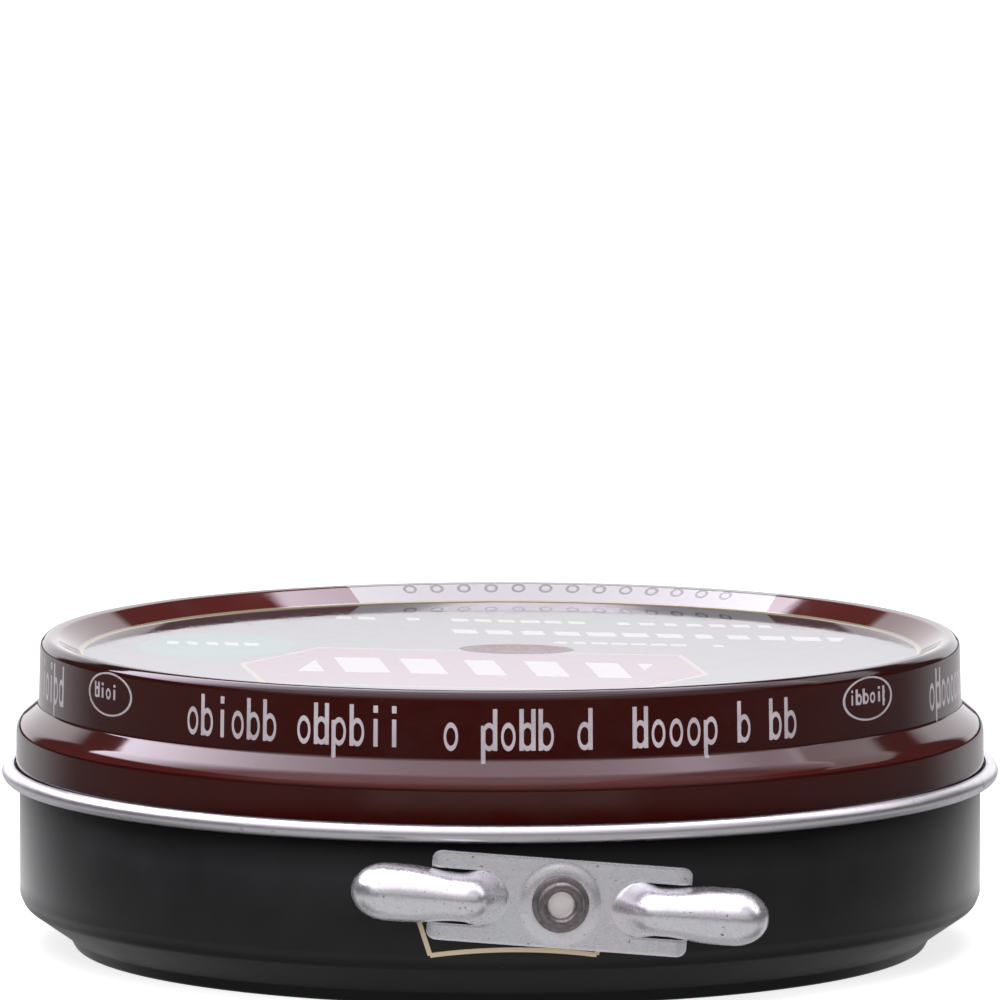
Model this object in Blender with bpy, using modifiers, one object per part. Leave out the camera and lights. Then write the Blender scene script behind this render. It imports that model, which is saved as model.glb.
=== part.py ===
"""A round shoe polish tin with a lever key, as five separate pieces, at rest with the lid on.

Metres, +Z up. The origin is the middle of the tin's flat underside, and the opener is on the
-Y side. Lengths below are in millimetres and are scaled once, where a mesh is made.
"""

from math import atan2, cos, pi, radians, sin, sqrt

import bmesh
import bpy

MM = 0.001

# Sheet and running gaps
SHEET = 0.3
GAP = 0.3
LEAST_ROUNDING = 0.1
ROUND_STEPS = 72

# Base cup
FLOOR_RADIUS = 31.6
FOOT_RADIUS = 32.1
FOOT_TOP = 0.95
WALL_RADIUS = 35.7
WALL_START = 4.0
WALL_TOP = 12.2
NECK_RADIUS = 35.3
NECK_START = 12.75
CUP_RIM = 16.2
FLOOR_ROUNDING = 0.45
FOOT_ROUNDING = 0.5
WALL_FOOT = (35.35, 3.2)
WALL_FOOT_ROUNDING = 1.2
WALL_ROUNDING = 1.0

# Lid
PANEL_TOP = 21.8
PANEL_RADIUS = 31.1
PANEL_ROUNDING = 0.5
SLOPE_TOP = (32.87, 22.98)
CREST_RADIUS = 33.62
LID_TOP = 23.1
CREST_ROUNDING = 0.6
UPPER_BAND_TOP = (34.13, 22.6)
UPPER_BAND_RADIUS = 34.25
UPPER_BAND_BOTTOM = 18.1
STEP_ROUNDING = 0.3
SHOULDER_EDGE = (35.92, 16.72)
SHOULDER_ROUNDING = 1.5
LOWER_BAND_RADIUS = 35.95
CURL_MIDDLE = (36.325, 13.05)
CURL_HALF_WIDTH = 0.675
CURL_HALF_HEIGHT = 0.64
CURL_END_ANGLE = 108

# Wax polish
POLISH_TOP = 12.15
POLISH_POCKET_RADIUS = 2.3
POLISH_POCKET_FLOOR = 34.5
POLISH_POCKET_MOUTH = 37.0

# Opener key: U runs along the key, W across it, and N is the distance out from the tin's axis
KEY_HEIGHT = 8.05
KEY_TILT = 5.2
KEY_SHEET = 0.45
KEY_BACK = 36.1
PLATE_HALF_LENGTH = 9.2
PLATE_HALF_WIDTH = 3.22
SLIT_START = 5.3
SLIT_INNER = 1.75
SLIT_OUTER = 1.98
TAB_BEND_START = 8.3
TAB_BEND_DEPTH = 0.25
WING_RISE_START = 3.7
WING_ROOT_ROUNDING = 1.2
WING_RISE_END = 6.4
WING_RISE = 2.45
WING_EDGE_LIFT = 0.5
WING_CURL_LENGTH = 1.9
WING_ROOT_HALF_WIDTH = 1.3
WING_HALF_WIDTH = 1.62
WING_SPREAD_START = 7.6
WING_SPREAD_END = 11.1
WING_ROUND_START = 12.5
WING_TIP = 14.64
MERGE_DISTANCE = 0.001
BOSS_RADIUS = 2.95
BOSS_TOP_RADIUS = 2.25
BOSS_RISE = 0.2
RIVET_HOLE_RADIUS = 1.33
RIVET_HOLE_ENDS = (34.0, 39.0)

# Opener rivet: radius, then distance out from the tin's axis
RIVET_STEPS = 32
RIVET_SHANK_RADIUS = 1.25
RIVET_BORE_RADIUS = 0.95
RIVET_BORE_FLOOR = 36.85
INNER_HEAD_RADIUS = 1.9
INNER_HEAD_START = 34.85
INNER_HEAD_END = 35.2
INNER_HEAD_TAPER = 0.15
FLANGE_RADIUS = 2.05
FLANGE_BACK = 36.83
FLANGE_FRONT = 36.98
FLANGE_TAPER = 0.1
RING_SEAM = 0.05
RING_RADIUS = 1.7
RING_TUBE = 0.37
RING_MIDDLE = 37.2

COLOURS = {
    "base_cup": (0.02, 0.02, 0.022, 1.0),
    "lid": (0.12, 0.012, 0.012, 1.0),
    "wax_polish": (0.05, 0.015, 0.01, 1.0),
    "opener_key": (0.62, 0.62, 0.66, 1.0),
    "opener_rivet": (0.45, 0.45, 0.46, 1.0),
}
METAL_PIECES = ("opener_key", "opener_rivet")


def clear_scene():
    """Remove the startup objects."""
    for obj in list(bpy.data.objects):
        bpy.data.objects.remove(obj)


def collection_named(name):
    """The scene's collection with this name, made if it isn't there."""
    found = bpy.data.collections.get(name)
    if found is None:
        found = bpy.data.collections.new(name)
        bpy.context.scene.collection.children.link(found)
    return found


def add_object(name, mesh, collection):
    """An object for the mesh, in its collection."""
    obj = bpy.data.objects.new(name, mesh)
    collection.objects.link(obj)
    return obj


def add_piece(name, mesh):
    """A named piece of the tin, in a collection of its own, with its own material."""
    obj = add_object(name, mesh, collection_named(name))
    material = bpy.data.materials.new(name)
    material.use_nodes = True
    shader = material.node_tree.nodes["Principled BSDF"]
    shader.inputs["Base Color"].default_value = COLOURS[name]
    shader.inputs["Roughness"].default_value = 0.35
    shader.inputs["Metallic"].default_value = 1.0 if name in METAL_PIECES else 0.0
    mesh.materials.append(material)
    return obj


def add_cutter(name, mesh):
    """A shape that is only cut away from others."""
    cutters = collection_named("cutters")
    cutters.hide_render = True
    obj = add_object(name, mesh, cutters)
    obj.hide_render = True
    obj.display_type = "WIRE"
    return obj


def line_mesh(name, points):
    """A mesh of one line through (radius, height) points, in the XZ plane."""
    mesh = bpy.data.meshes.new(name)
    vertices = [(radius * MM, 0.0, height * MM) for radius, height in points]
    edges = [(i, i + 1) for i in range(len(points) - 1)]
    mesh.from_pydata(vertices, edges, [])
    return mesh


def turn_about_z(obj, steps):
    """Revolve the object's line about its own Z axis."""
    screw = obj.modifiers.new("revolve", "SCREW")
    screw.axis = "Z"
    screw.steps = steps
    screw.render_steps = steps
    screw.use_merge_vertices = True
    screw.merge_threshold = 0.00001
    screw.use_smooth_shade = True


def cut_away(obj, cutter):
    """Take the cutter's shape out of the object."""
    boolean = obj.modifiers.new("cut " + cutter.name, "BOOLEAN")
    boolean.operation = "DIFFERENCE"
    boolean.solver = "EXACT"
    boolean.object = cutter


def arc(middle, half_width, half_height, start, end, count):
    """Points along an elliptical arc, from one angle to another, both ends included."""
    points = []
    for i in range(count + 1):
        angle = radians(start + (end - start) * i / count)
        points.append((middle[0] + half_width * cos(angle), middle[1] + half_height * sin(angle)))
    return points


def round_corner(before, corner, after, radius, count):
    """Points that round the corner of a line, tangent to both of its sides."""
    into = direction(before, corner)
    out = direction(corner, after)
    turn = atan2(into[0] * out[1] - into[1] * out[0], into[0] * out[0] + into[1] * out[1])
    side = 1 if turn > 0 else -1
    back = radius * abs(sin(turn / 2) / cos(turn / 2))
    start = (corner[0] - into[0] * back, corner[1] - into[1] * back)
    middle = (start[0] - into[1] * radius * side, start[1] + into[0] * radius * side)
    first = atan2(start[1] - middle[1], start[0] - middle[0])
    points = []
    for i in range(count + 1):
        angle = first + turn * i / count
        points.append((middle[0] + radius * cos(angle), middle[1] + radius * sin(angle)))
    return points


def direction(start, end):
    """Unit vector from one point to another."""
    length = sqrt((end[0] - start[0]) ** 2 + (end[1] - start[1]) ** 2)
    return ((end[0] - start[0]) / length, (end[1] - start[1]) / length)


def sheet_line(corners, distance, count):
    """The line through (radius, height, rounding) corners, moved to its right by a distance.

    Each rounded corner keeps its middle, so a sheet between two such lines is evenly thick.
    """
    line = [corner[:2] for corner in corners]
    moved = moved_right(line, distance)
    points = []
    for i, (radius, height, rounding) in enumerate(corners):
        if not rounding:
            points.append(moved[i])
            continue
        rounding += distance if turns_left(line[i - 1], line[i], line[i + 1]) else -distance
        if rounding < LEAST_ROUNDING:
            points.append(moved[i])
        else:
            points += round_corner(moved[i - 1], moved[i], moved[i + 1], rounding, count)
    return points


def turns_left(before, corner, after):
    """Whether a line turns to its left at a corner."""
    into = direction(before, corner)
    out = direction(corner, after)
    return into[0] * out[1] - into[1] * out[0] > 0


def moved_right(line, distance):
    """Every side of the line moved to its right by a distance."""
    moved = []
    for i, point in enumerate(line):
        into = direction(line[i - 1], point) if i else direction(point, line[1])
        out = direction(point, line[i + 1]) if i + 1 < len(line) else into
        normal = direction((0, 0), (into[1] + out[1], -into[0] - out[0]))
        shift = distance / (normal[0] * into[1] - normal[1] * into[0])
        moved.append((point[0] + normal[0] * shift, point[1] + normal[1] * shift))
    return moved


def cup_line(inward, count):
    """The cup's outer line from the middle of its floor up to its rim, moved in by a distance."""
    corners = [
        (0.0, 0.0, 0),
        (FLOOR_RADIUS, 0.0, FLOOR_ROUNDING),
        (FOOT_RADIUS, FOOT_TOP, FOOT_ROUNDING),
        (*WALL_FOOT, WALL_FOOT_ROUNDING),
        (WALL_RADIUS, WALL_START, WALL_ROUNDING),
        (WALL_RADIUS, WALL_TOP, 0),
        (NECK_RADIUS, NECK_START, 0),
        (NECK_RADIUS, CUP_RIM, 0),
    ]
    return sheet_line(corners, -inward, count)


def build_base_cup(rivet_hole):
    """The black drawn cup, necked in at the top where the lid slides over it."""
    line = cup_line(SHEET, 2) + cup_line(0.0, 2)[::-1]
    cup = add_piece("base_cup", line_mesh("base_cup", line))
    turn_about_z(cup, ROUND_STEPS)
    cut_away(cup, rivet_hole)


def lid_line(inward, count):
    """The lid's outer line from the middle of its panel down to the curl, moved in by a distance."""
    corners = [
        (0.0, PANEL_TOP, 0),
        (PANEL_RADIUS, PANEL_TOP, PANEL_ROUNDING),
        (*SLOPE_TOP, CREST_ROUNDING),
        (CREST_RADIUS, LID_TOP, CREST_ROUNDING),
        (*UPPER_BAND_TOP, CREST_ROUNDING),
        (UPPER_BAND_RADIUS, UPPER_BAND_BOTTOM, STEP_ROUNDING),
        (*SHOULDER_EDGE, SHOULDER_ROUNDING),
        (LOWER_BAND_RADIUS, CURL_MIDDLE[1], 0),
    ]
    return sheet_line(corners, inward, count)


def build_lid():
    """The lid: panel, raised rim, stepped band and a hollow curl round its lower edge."""
    half_width = CURL_HALF_WIDTH - SHEET
    half_height = CURL_HALF_HEIGHT - SHEET
    curl_end = 360 + CURL_END_ANGLE
    tube = arc(CURL_MIDDLE, half_width, half_height, 180, curl_end, 7)
    curl = arc(CURL_MIDDLE, CURL_HALF_WIDTH, CURL_HALF_HEIGHT, curl_end, 180, 10)
    line = lid_line(0.0, 3)[:-1] + tube + curl + lid_line(SHEET, 1)[::-1][1:]
    lid = add_piece("lid", line_mesh("lid", line))
    turn_about_z(lid, ROUND_STEPS)


def build_wax_polish(pocket):
    """The cake of polish cast in the cup, with room for the rivet's inner head."""
    side = [point for point in cup_line(SHEET + GAP, 2) if point[1] < POLISH_TOP]
    line = [(0.0, POLISH_TOP), (side[-1][0], POLISH_TOP)] + side[::-1]
    cake = add_piece("wax_polish", line_mesh("wax_polish", line))
    turn_about_z(cake, ROUND_STEPS)
    cut_away(cake, pocket)


def pin_mesh(name, radius, ends):
    """A plain cylinder about the key's axis, between two distances out from the tin's axis."""
    mesh = bpy.data.meshes.new(name)
    shape = bmesh.new()
    bmesh.ops.create_cone(
        shape,
        cap_ends=True,
        segments=RIVET_STEPS,
        radius1=radius * MM,
        radius2=radius * MM,
        depth=(ends[1] - ends[0]) * MM,
    )
    bmesh.ops.translate(shape, verts=shape.verts, vec=(0, 0, (ends[0] + ends[1]) / 2 * MM))
    shape.to_mesh(mesh)
    shape.free()
    return mesh


def stand_on_key_axis(obj):
    """Lay the object's Z axis along the key's axis, pointing out of the tin to -Y."""
    obj.location = (0.0, 0.0, KEY_HEIGHT * MM)
    obj.rotation_euler = (pi / 2, 0.0, 0.0)


def build_opener_rivet():
    """A tubular rivet: a head inside the cup, a shank, a thin flange and a rolled ring."""
    ring_middle = (RING_RADIUS - RING_TUBE, RING_MIDDLE)
    line = [
        (0.0, RIVET_BORE_FLOOR),
        (RIVET_BORE_RADIUS, RIVET_BORE_FLOOR),
    ]
    line += arc(ring_middle, RING_TUBE, RING_TUBE, 180, 0, 8)
    line += [
        (RING_RADIUS, FLANGE_FRONT + RING_SEAM),
        (FLANGE_RADIUS - FLANGE_TAPER, FLANGE_FRONT),
        (FLANGE_RADIUS, FLANGE_BACK),
        (RIVET_SHANK_RADIUS, FLANGE_BACK),
        (RIVET_SHANK_RADIUS, INNER_HEAD_END),
        (INNER_HEAD_RADIUS, INNER_HEAD_END),
        (INNER_HEAD_RADIUS - INNER_HEAD_TAPER, INNER_HEAD_START),
        (0.0, INNER_HEAD_START),
    ]
    rivet = add_piece("opener_rivet", line_mesh("opener_rivet", line))
    turn_about_z(rivet, RIVET_STEPS)
    stand_on_key_axis(rivet)


def smooth_step(value, start, end):
    """A step from 0 at the start to 1 at the end, level at both."""
    share = min(1.0, max(0.0, (value - start) / (end - start)))
    return share * share * (3 - 2 * share)


def tip_roundness(u):
    """How far the wing's rounded tip has closed: 1 before it starts, 0 at its very end."""
    along = max(0.0, (u - WING_ROUND_START) / (WING_TIP - WING_ROUND_START))
    return sqrt(max(0.0, 1 - along * along))


def wing_half_width(u):
    """Half the wing's width inside, at a distance along the key."""
    spread = smooth_step(u, WING_SPREAD_START, WING_SPREAD_END)
    width = WING_ROOT_HALF_WIDTH + (WING_HALF_WIDTH - WING_ROOT_HALF_WIDTH) * spread
    return width * tip_roundness(u)


def boss_rise(u, w):
    """How far the round boss under the rivet stands out of the plate."""
    return BOSS_RISE * (1 - smooth_step(sqrt(u * u + w * w), BOSS_TOP_RADIUS, BOSS_RADIUS))


def plate_point(u, w):
    """Where a point of the flat plate or its tabs goes when the key is pressed."""
    bend = max(0.0, u - TAB_BEND_START) / (PLATE_HALF_LENGTH - TAB_BEND_START)
    return (u, w, boss_rise(u, w) - TAB_BEND_DEPTH * bend * bend)


def wing_point(u, w):
    """Where a point of the strip between the slits goes: it swells into a half-round wing."""
    root = WING_RISE_START + WING_ROOT_ROUNDING * (w / SLIT_INNER) ** 2
    rise = smooth_step(u, root, WING_RISE_END)
    curl = smooth_step(u, SLIT_START, SLIT_START + WING_CURL_LENGTH)
    angle = w / SLIT_INNER * pi / 2
    across = w + curl * (sin(angle) * wing_half_width(u) - w)
    out = boss_rise(u, w) + curl * WING_EDGE_LIFT
    return (u, across, out + rise * WING_RISE * cos(angle) * tip_roundness(u))


def even_steps(start, end, count):
    """Evenly spaced values from the start to the end."""
    return [start + (end - start) * i / count for i in range(count + 1)]


def add_sheet(shape, columns, rows, place):
    """A grid of faces, each corner put where place(u, w) says."""
    grid = []
    for u in columns:
        grid.append([shape.verts.new([value * MM for value in place(u, w)]) for w in rows])
    for left, right in zip(grid, grid[1:]):
        for i in range(len(rows) - 1):
            shape.faces.new([left[i], right[i], right[i + 1], left[i + 1]])


def key_quarter():
    """A quarter of the key's back face, from its middle to one wing's tip, as one open sheet."""
    middle = even_steps(0.0, WING_RISE_START, 6) + even_steps(WING_RISE_START, SLIT_START, 4)[1:]
    tabs = even_steps(SLIT_START, PLATE_HALF_LENGTH, 8)
    wing = tabs + even_steps(PLATE_HALF_LENGTH, WING_ROUND_START, 3)[1:]
    for angle in even_steps(0.0, pi / 2, 6)[1:]:
        wing.append(WING_ROUND_START + (WING_TIP - WING_ROUND_START) * sin(angle))
    wing_rows = even_steps(0.0, SLIT_INNER, 6)
    tab_rows = even_steps(SLIT_OUTER, PLATE_HALF_WIDTH, 3)
    shape = bmesh.new()
    add_sheet(shape, middle, wing_rows, wing_point)
    add_sheet(shape, middle, [SLIT_INNER] + tab_rows, plate_point)
    add_sheet(shape, tabs, tab_rows, plate_point)
    add_sheet(shape, wing, wing_rows, wing_point)
    bmesh.ops.remove_doubles(shape, verts=shape.verts, dist=MERGE_DISTANCE * MM)
    mesh = bpy.data.meshes.new("opener_key")
    shape.to_mesh(mesh)
    shape.free()
    mesh.shade_smooth()
    return mesh


def build_opener_key(hole):
    """The pressed steel key that turns on the rivet and prises the lid up."""
    key = add_piece("opener_key", key_quarter())
    mirror = key.modifiers.new("both ends, both edges", "MIRROR")
    mirror.use_axis = (True, True, False)
    mirror.merge_threshold = MERGE_DISTANCE * MM
    thickness = key.modifiers.new("sheet", "SOLIDIFY")
    thickness.thickness = KEY_SHEET * MM
    thickness.offset = 1.0
    cut_away(key, hole)
    key.location = (0.0, -KEY_BACK * MM, KEY_HEIGHT * MM)
    key.rotation_euler = (pi / 2, radians(KEY_TILT), 0.0)


def build_tin():
    """Build every piece."""
    clear_scene()
    hole = add_cutter("rivet_hole", pin_mesh("rivet_hole", RIVET_HOLE_RADIUS, RIVET_HOLE_ENDS))
    stand_on_key_axis(hole)
    pocket_ends = (POLISH_POCKET_FLOOR, POLISH_POCKET_MOUTH)
    pocket = add_cutter("head_pocket", pin_mesh("head_pocket", POLISH_POCKET_RADIUS, pocket_ends))
    stand_on_key_axis(pocket)
    build_base_cup(hole)
    build_lid()
    build_wax_polish(pocket)
    build_opener_key(hole)
    build_opener_rivet()


build_tin()
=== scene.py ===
"""The looks of the shoe polish tin: smooth lacquered tinplate, a zinc-plated key and wax polish.

Metres, +Z up, in the CAD model's frame. Shapes are drawn in millimetres and scaled once. The
tin's axis is Z and its opener faces -Y, so an angle round the tin is 0 at the opener and grows
towards +X.
"""

from math import atan2, cos, pi, radians, sin, sqrt

import bmesh
import bpy
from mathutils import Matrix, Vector


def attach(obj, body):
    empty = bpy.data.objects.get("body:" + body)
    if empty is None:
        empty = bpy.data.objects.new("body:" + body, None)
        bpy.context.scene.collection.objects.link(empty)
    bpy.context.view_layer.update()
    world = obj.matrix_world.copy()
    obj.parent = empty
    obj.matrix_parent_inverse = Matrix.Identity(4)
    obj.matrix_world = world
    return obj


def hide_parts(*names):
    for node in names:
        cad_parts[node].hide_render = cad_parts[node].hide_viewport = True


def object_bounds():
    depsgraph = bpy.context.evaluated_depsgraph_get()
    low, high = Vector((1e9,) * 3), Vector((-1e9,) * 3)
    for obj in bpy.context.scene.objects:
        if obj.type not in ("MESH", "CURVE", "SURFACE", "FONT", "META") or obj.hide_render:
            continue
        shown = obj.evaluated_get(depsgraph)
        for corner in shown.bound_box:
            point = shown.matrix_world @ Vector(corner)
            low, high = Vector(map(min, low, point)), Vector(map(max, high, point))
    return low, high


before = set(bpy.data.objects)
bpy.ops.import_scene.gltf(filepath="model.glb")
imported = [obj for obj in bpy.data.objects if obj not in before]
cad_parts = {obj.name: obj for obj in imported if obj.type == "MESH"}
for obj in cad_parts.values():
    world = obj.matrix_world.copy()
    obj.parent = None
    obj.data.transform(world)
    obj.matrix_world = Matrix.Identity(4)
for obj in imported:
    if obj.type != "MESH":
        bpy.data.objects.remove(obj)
cad_low, cad_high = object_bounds()

MM = 0.001

# Sheet metal, as in the CAD model
SHEET = 0.3
LEAST_ROUNDING = 0.05

# How finely the shapes are divided
ROUND_STEPS = 256
RIVET_STEPS = 96
HOLE_STEPS = 48
OUTER_CORNER_STEPS = 8
INNER_CORNER_STEPS = 4
CURL_STEPS = 20
SHARP_ANGLE = 38

# Lid
PANEL_TOP = 21.8
PANEL_RADIUS = 31.1
PANEL_ROUNDING = 0.5
SLOPE_TOP = (32.87, 22.98)
CREST_RADIUS = 33.62
LID_TOP = 23.1
CREST_ROUNDING = 0.6
UPPER_BAND_TOP = (34.13, 22.6)
UPPER_BAND_RADIUS = 34.25
UPPER_BAND_BOTTOM = 18.1
STEP_ROUNDING = 0.3
SHOULDER_EDGE = (35.92, 16.72)
SHOULDER_ROUNDING = 1.5
LOWER_BAND_RADIUS = 35.95
CURL_MIDDLE = (36.325, 13.05)
CURL_HALF_WIDTH = 0.675
CURL_HALF_HEIGHT = 0.64
CURL_END_ANGLE = 108

# Cup and wax
FLOOR_RADIUS = 31.6
FOOT_RADIUS = 32.1
FOOT_TOP = 0.95
WALL_RADIUS = 35.7
WALL_START = 4.0
WALL_TOP = 12.2
NECK_RADIUS = 35.3
NECK_START = 12.75
CUP_RIM = 16.2
FLOOR_ROUNDING = 0.45
FOOT_ROUNDING = 0.5
WALL_FOOT = (35.35, 3.2)
WALL_FOOT_ROUNDING = 1.2
WALL_ROUNDING = 1.0
WAX_GAP = 0.3
WAX_TOP = 12.15
WAX_DIP = 0.22
WAX_DIP_START = 8.0
WAX_BRIM_WIDTH = 2.0
WAX_LIP_WIDTH = 0.4
WAX_LIP_RISE = 0.02
WAX_EDGE_ROUNDING = 0.15
WAX_POCKET_RADIUS = 2.3
WAX_POCKET_ENDS = (34.5, 37.0)

# Key: u runs along it and w across it, both from the rivet. Distances out from the tin's axis are
# given for its back and for the parts of the rivet.
KEY_HEIGHT = 8.05
KEY_TILT = 5.2
KEY_SHEET = 0.45
KEY_BACK = 36.1
KEY_EDGE_WEAR = 0.09
KEY_EDGE_ANGLE = 50
PLATE_HALF_LENGTH = 9.2
PLATE_HALF_WIDTH = 3.22
SLIT_START = 5.3
SLIT_INNER = 1.75
SLIT_OUTER = 1.98
TAB_BEND_START = 8.3
TAB_BEND_DEPTH = 0.25
TAB_CORNER = 0.6
WING_RISE_START = 3.7
WING_ROOT_ROUNDING = 1.2
WING_RISE_END = 6.4
WING_RISE = 2.45
WING_EDGE_LIFT = 0.5
WING_CURL_LENGTH = 1.9
WING_ROOT_HALF_WIDTH = 1.3
WING_HALF_WIDTH = 1.62
WING_SPREAD_START = 7.6
WING_SPREAD_END = 11.1
WING_ROUND_START = 12.5
WING_TIP = 14.64
BOSS_RADIUS = 2.95
BOSS_TOP_RADIUS = 2.25
BOSS_RISE = 0.2

# Rivet
RIVET_HOLE_RADIUS = 1.33
RIVET_HOLE_ENDS = (34.0, 39.0)
RIVET_SHANK_RADIUS = 1.25
RIVET_BORE_RADIUS = 0.95
RIVET_BORE_FLOOR = 36.85
RIVET_BORE_ROUNDING = 0.1
INNER_HEAD_RADIUS = 1.9
INNER_HEAD_START = 34.85
INNER_HEAD_END = 35.2
INNER_HEAD_TAPER = 0.15
FLANGE_RADIUS = 2.05
FLANGE_BACK = 36.83
FLANGE_FRONT = 36.98
FLANGE_EDGE_WIDTH = 0.1
FLANGE_EDGE_DROP = 0.06
RING_RADIUS = 1.7
RING_TUBE = 0.37
RING_MIDDLE = 37.2
RING_FOOT = 0.05

# Print on the panel: u runs along its rows and v towards the back. An oval is a middle and its half
# sizes; a row of bars is a middle, a half height, a pitch, a run and a seed.
ART_TURN = 17
FIELD_MIDDLE = -11.0
FIELD_HALF_WIDTH = 17.1
FIELD_HALF_HEIGHT = 10.5
FIELD_NARROWING = 0.35
FIELD_OUTLINE = 0.45
FIELD_ROW = (-10.0, 4.3, 4.6, (-12.5, 12.5), 3.0)
PANEL_OVAL = ((1.0, 1.4), (4.3, 3.0))
PANEL_DISC = ((-21.4, -0.4), (5.9, 7.3))
DISC_ROW = (0.8, 0.9, 1.5, (-25.5, -17.3), 15.0)
PANEL_ROWS = (
    (6.0, 0.55, 1.5, (3.0, 16.0), 11.0),
    (11.5, 1.2, 2.6, (-9.0, 24.0), 12.0),
    (18.5, 0.8, 1.8, (-16.0, 18.0), 13.0),
    (-24.5, 0.7, 1.6, (-11.0, 11.0), 14.0),
)
BAR_SLANT = 0.3
BAR_LEAST_HALF = 0.22
BAR_MOST_HALF = 0.42
BAR_GAP_CHANCE = 0.12

# Plain marks: places and heights as shares of a mark's pitch and height, then chances from 0 to 1
MARK_RING = ((0.0, 0.5), (0.37, 0.5))
MARK_RING_INSIDE = 0.84
MARK_RING_WEIGHT = 1.6
MARK_STEM = 0.31
MARK_TALL = 1.5
MARK_DEEP = -0.45
MARK_DEEP_TOP = 0.9
MARK_DOT_HEIGHT = 1.35
MARK_DOT_HALF = 0.13
MARK_DOT_WEIGHT = 1.1
LEFT_STEM_ABOVE = 0.7
RIGHT_STEM_ABOVE = 0.8
DEEP_STEM_ABOVE = 0.82
ROUND_MARK_ABOVE = 0.36
THIN_MARK_ABOVE = 0.14

# Print on the slope: angles in degrees from the tin's back, and radii
PATCH_MIDDLE = 16.7
PATCH_HALF_ANGLE = 30.3
PATCH_LEAN = 0.4
PATCH_RADIUS = 32.0
TICK_HALF_ANGLE = 24.05
TICK_PITCH = 3.7
TICK_RADIUS = 32.45
TICK_HALF_SIZE = (0.26, 0.42)
TICK_WIDTH = 0.42
TICK_SEED = 5.0

# Print on the upper band: angles in degrees, and heights. A row is a run, a base and a seed.
BAND_ROWS = (
    ((-48.3, -18.4), 18.95, 21.0),
    ((-13.8, 32.2), 18.8, 22.0),
    ((-87.4, -75.9), 19.1, 23.0),
    ((59.8, 82.8), 19.0, 24.0),
)
BAND_PITCH = 2.3
BAND_MARK_HEIGHT = 2.0
BAND_MARK_WEIGHT = 0.115
BADGE_MIDDLES = (-63.1, 44.8)
BADGE_HEIGHT = 20.95
BADGE_HALF_SIZE = (5.0, 1.6)
BADGE_LINE = 0.085
BADGE_ROW_BASE = 20.6
BADGE_ROW_HALF = 3.4
BADGE_PITCH = 1.36
BADGE_MARK_HEIGHT = 0.75
BADGE_MARK_WEIGHT = 0.16
BADGE_SEED = 25.0
# Heights of the shoulder's lighter maroon, a painted highlight: its middle and half height
SHOULDER_MIDDLE = 17.2
SHOULDER_HALF_HEIGHT = 0.9

# Printed line below the key: angles in degrees and heights
LINE_TURN = -5.2
LINE_HEIGHT = 4.65
LINE_FALL = 0.005
LINE_HALF_WIDTH = 0.17
LINE_REACH = 9.6
LINE_END_LEAN = 0.5
LINE_END_HALF_ANGLE = 0.28
LINE_END_HALF_HEIGHT = 2.2

# Heights where the enamel's gloss and its sheen of dust are least and where they are full
GLOSS_UNDER_EDGE = (12.2, 9.6)
GLOSS_ON_BEND = (3.1, 4.1)
SHEEN_ON_BEND = (3.4, 5.0)

# Colours
MAROON = (0.031, 0.0034, 0.0026, 1)
MAROON_WORN = (0.025, 0.003, 0.0024, 1)
SLOPE_MAROON = (0.15, 0.024, 0.021, 1)
# Lighter, redder maroon on the lid's shoulder: a painted highlight
SHOULDER_HIGHLIGHT_MAROON = (0.085, 0.012, 0.011, 1)
LID_DUST = (0.30, 0.28, 0.28, 1)
RED_FIELD = (0.30, 0.07, 0.17, 1)
DARK_FIELD = (0.10, 0.09, 0.11, 1)
PRINT_WHITE = (0.74, 0.70, 0.74, 1)
PATCH_WHITE = (0.56, 0.56, 0.56, 1)
PRINT_GOLD = (0.50, 0.42, 0.28, 1)
BAND_PRINT = (0.50, 0.45, 0.49, 1)
PRINT_GREEN = (0.02, 0.24, 0.19, 1)
PRINT_BROWN = (0.16, 0.03, 0.03, 1)
PRINT_INK = (0.13, 0.125, 0.14, 1)
TIN = (0.72, 0.71, 0.73, 1)
TIN_DULL = (0.46, 0.44, 0.43, 1)
ENAMEL = (0.0022, 0.0022, 0.0024, 1)
ENAMEL_CLOUD = (0.0042, 0.004, 0.0044, 1)
ENAMEL_DUST = (0.10, 0.10, 0.10, 1)
ENAMEL_LINE = (0.50, 0.40, 0.27, 1)
ZINC_BLUE = (0.79, 0.81, 0.83, 1)
ZINC_WARM = (0.82, 0.79, 0.82, 1)
ZINC_DULL = (0.66, 0.66, 0.72, 1)
ZINC_PIT = (0.16, 0.15, 0.16, 1)
STEEL = (0.34, 0.30, 0.30, 1)
STEEL_STAIN = (0.17, 0.15, 0.15, 1)
# Paler steel on the floor of the rivet's bore: painted light
STEEL_PAINTED_LIGHT = (0.78, 0.74, 0.72, 1)
WAX_DARK = (0.045, 0.010, 0.006, 1)
WAX_PALE = (0.075, 0.018, 0.011, 1)

# White floor and lamps, in metres
GROUND_RADIUS = 8.0
GROUND_DROP = 0.00002
TOP_PLACE = (0, 0.1, 0.9)
TOP_SIZE = 0.9
TOP_COLOUR = (1.0, 0.98, 1.0)
FILL_PLACE = (-0.25, -0.85, 0.5)
FILL_SIZE = 0.7
FILL_COLOUR = (1.0, 0.99, 1.0)

# Camera, at the photograph's viewing angle: metres, degrees, and millimetres for lens and sensor
CAMERA_DISTANCE = 0.8966
CAMERA_HEIGHT = 0.1316
CAMERA_TURN = -6.75
CAMERA_TILT = 6.27
CAMERA_LENS = 437.8
CAMERA_SENSOR = 36
CAMERA_FAR = 50

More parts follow.
